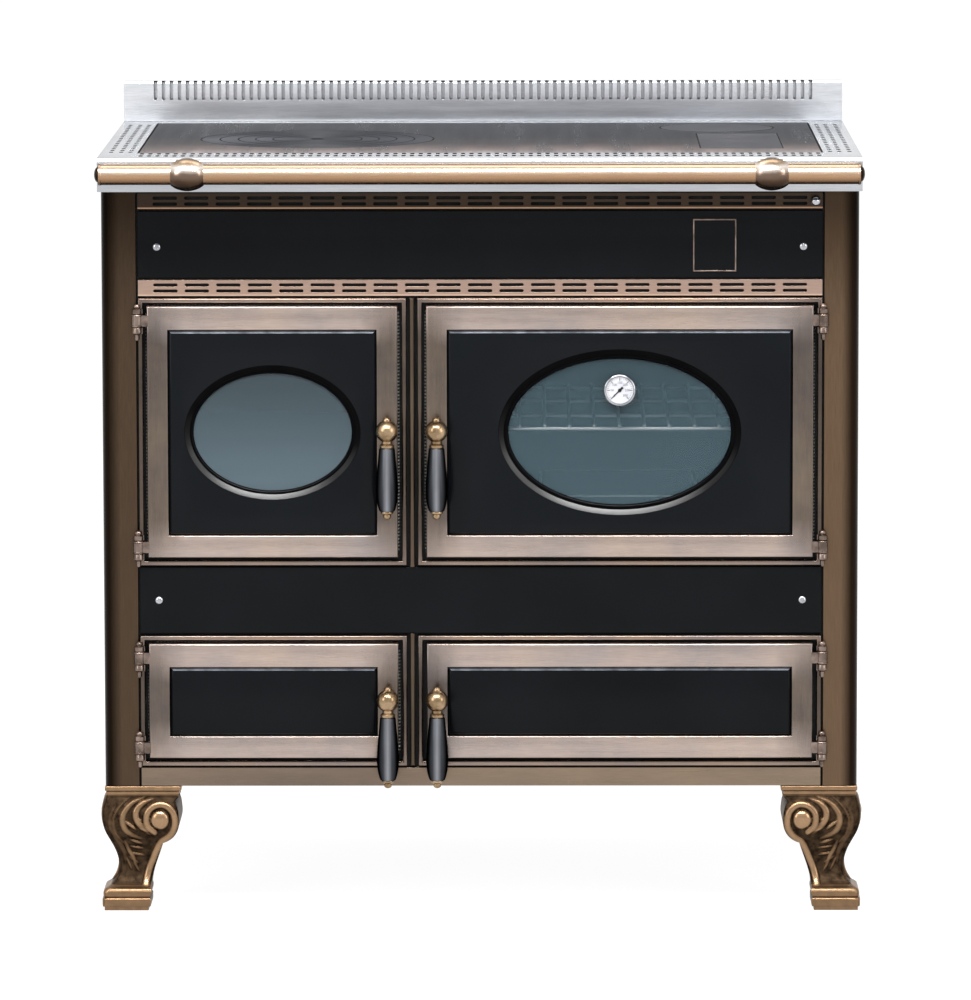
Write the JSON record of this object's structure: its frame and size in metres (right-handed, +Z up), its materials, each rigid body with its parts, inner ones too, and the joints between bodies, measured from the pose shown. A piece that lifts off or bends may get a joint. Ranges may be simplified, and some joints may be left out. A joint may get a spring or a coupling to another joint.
{
  "type": "wood cookstove",
  "caption": "Freestanding wood cookstove with glazed firebox and oven doors, ash and storage doors, nested hob rings, towel rail, slotted backsplash and cabriole legs.",
  "frame": {"origin": "on the floor, under the middle of the stove's bounding box", "axes": "+Z up, the doors face -Y, +X to the right of a person facing the stove"},
  "size_m": [0.9052, 0.6614, 0.9533],
  "materials": {
    "casing_steel": "heat-proof satin paint",
    "enamel_black": "glossy vitreous enamel",
    "bronze_patina": "brushed aged bronze",
    "copper_bronze": "satin copper-bronze",
    "stainless": "brushed",
    "ground_iron": "ground smooth",
    "aged_brass": "aged, polished on the high spots",
    "charcoal_grip": "satin, heat-proof",
    "dark_glass": "clear ceramic glass, smoked",
    "rope_seal": "braided",
    "firebrick": "rough, fired clay",
    "cast_iron": "as cast",
    "chrome": "polished",
    "needle_black": "satin"
  },
  "bodies": {
    "stove": {"carcass": "casing_steel", "ash_pan": "casing_steel", "side_panel_left": "enamel_black", "side_panel_right": "enamel_black", "back_panel": "enamel_black", "upper_fascia": "enamel_black", "middle_fascia": "enamel_black", "pillar_left": "bronze_patina", "pillar_right": "bronze_patina", "bottom_rail": "bronze_patina", "centre_mullion": "bronze_patina", "leg_front_left": "bronze_patina", "leg_front_right": "bronze_patina", "leg_rear_left": "bronze_patina", "leg_rear_right": "bronze_patina", "upper_grille": "copper_bronze", "lower_grille": "copper_bronze", "towel_rail": "copper_bronze", "worktop_frame": "stainless", "backsplash": "stainless", "hob_plate": "ground_iron", "rail_support_left": "aged_brass", "rail_support_right": "aged_brass", "firebox_surround": "bronze_patina", "oven_surround": "bronze_patina", "ash_surround": "bronze_patina", "storage_surround": "bronze_patina", "firebrick_lining": "firebrick", "firebox_grate": "cast_iron", "oven_rack": "chrome"},
    "firebox_door": {"firebox_door_frame": "bronze_patina", "firebox_door_panel": "enamel_black", "firebox_door_glass": "dark_glass", "firebox_door_seal": "rope_seal"},
    "firebox_handle": {"firebox_handle": "aged_brass", "firebox_grip": "charcoal_grip"},
    "oven_door": {"oven_door_frame": "bronze_patina", "oven_door_panel": "enamel_black", "oven_door_glass": "dark_glass", "oven_door_seal": "rope_seal", "thermometer_case": "chrome"},
    "oven_handle": {"oven_handle": "aged_brass", "oven_grip": "charcoal_grip"},
    "ash_door": {"ash_door_frame": "bronze_patina", "ash_door_panel": "enamel_black"},
    "ash_handle": {"ash_handle": "aged_brass", "ash_grip": "charcoal_grip"},
    "storage_door": {"storage_door_frame": "bronze_patina", "storage_door_panel": "enamel_black"},
    "storage_handle": {"storage_handle": "aged_brass", "storage_grip": "charcoal_grip"},
    "thermometer_needle": {"thermometer_needle": "needle_black"},
    "hob_ring_1": {"hob_ring_1": "ground_iron"},
    "hob_ring_2": {"hob_ring_2": "ground_iron"},
    "hob_ring_3": {"hob_ring_3": "ground_iron"},
    "hob_ring_4": {"hob_ring_4": "ground_iron"},
    "hob_disc": {"hob_disc": "ground_iron"},
    "flue_cap": {"flue_cap": "ground_iron"},
    "cleaning_cover": {"cleaning_cover": "ground_iron"},
    "bypass_rod": {"bypass_rod": "chrome"}
  },
  "joints": [
    {"name": "firebox_door_hinge", "type": "hinge", "parent": "stove", "child": "firebox_door", "pos_m": [-0.4056, -0.24725, 0.57505], "axis": [0, 0, -1], "range_deg": [0, 120]},
    {"name": "oven_door_hinge", "type": "hinge", "parent": "stove", "child": "oven_door", "pos_m": [0.4056, -0.24725, 0.57505], "axis": [0, 0, 1], "range_deg": [0, 120]},
    {"name": "ash_door_hinge", "type": "hinge", "parent": "stove", "child": "ash_door", "pos_m": [-0.4056, -0.24725, 0.25335], "axis": [0, 0, -1], "range_deg": [0, 120]},
    {"name": "storage_door_hinge", "type": "hinge", "parent": "stove", "child": "storage_door", "pos_m": [0.4056, -0.24725, 0.25335], "axis": [0, 0, 1], "range_deg": [0, 120]},
    {"name": "firebox_handle_turn", "type": "hinge", "parent": "firebox_door", "child": "firebox_handle", "pos_m": [-0.11015, -0.27025, 0.57905], "axis": [0, 1, 0], "range_deg": [0, 90]},
    {"name": "oven_handle_turn", "type": "hinge", "parent": "oven_door", "child": "oven_handle", "pos_m": [-0.05165, -0.27025, 0.57905], "axis": [0, -1, 0], "range_deg": [0, 90]},
    {"name": "ash_handle_turn", "type": "hinge", "parent": "ash_door", "child": "ash_handle", "pos_m": [-0.11015, -0.27025, 0.25735], "axis": [0, 1, 0], "range_deg": [0, 90]},
    {"name": "storage_handle_turn", "type": "hinge", "parent": "storage_door", "child": "storage_handle", "pos_m": [-0.05165, -0.27025, 0.25735], "axis": [0, -1, 0], "range_deg": [0, 90]},
    {"name": "hob_ring_1_lift", "type": "slide", "parent": "stove", "child": "hob_ring_1", "axis": [0, 0, 1], "range_m": [0, 0.1]},
    {"name": "hob_ring_2_lift", "type": "slide", "parent": "hob_ring_1", "child": "hob_ring_2", "axis": [0, 0, 1], "range_m": [0, 0.1]},
    {"name": "hob_ring_3_lift", "type": "slide", "parent": "hob_ring_2", "child": "hob_ring_3", "axis": [0, 0, 1], "range_m": [0, 0.1]},
    {"name": "hob_ring_4_lift", "type": "slide", "parent": "hob_ring_3", "child": "hob_ring_4", "axis": [0, 0, 1], "range_m": [0, 0.1]},
    {"name": "hob_disc_lift", "type": "slide", "parent": "hob_ring_4", "child": "hob_disc", "axis": [0, 0, 1], "range_m": [0, 0.1]},
    {"name": "flue_cap_lift", "type": "slide", "parent": "stove", "child": "flue_cap", "axis": [0, 0, 1], "range_m": [0, 0.1]},
    {"name": "cleaning_cover_lift", "type": "slide", "parent": "stove", "child": "cleaning_cover", "axis": [0, 0, 1], "range_m": [0, 0.1]},
    {"name": "bypass_pull", "type": "slide", "parent": "stove", "child": "bypass_rod", "axis": [0, -1, 0], "range_m": [0, 0.07]},
    {"name": "thermometer_turn", "type": "hinge", "parent": "oven_door", "child": "thermometer_needle", "pos_m": [0.1651, -0.2475, 0.62505], "axis": [0, 1, 0], "range_deg": [0, 260], "stiffness_Nm_per_rad": 0.00002}
  ]
}
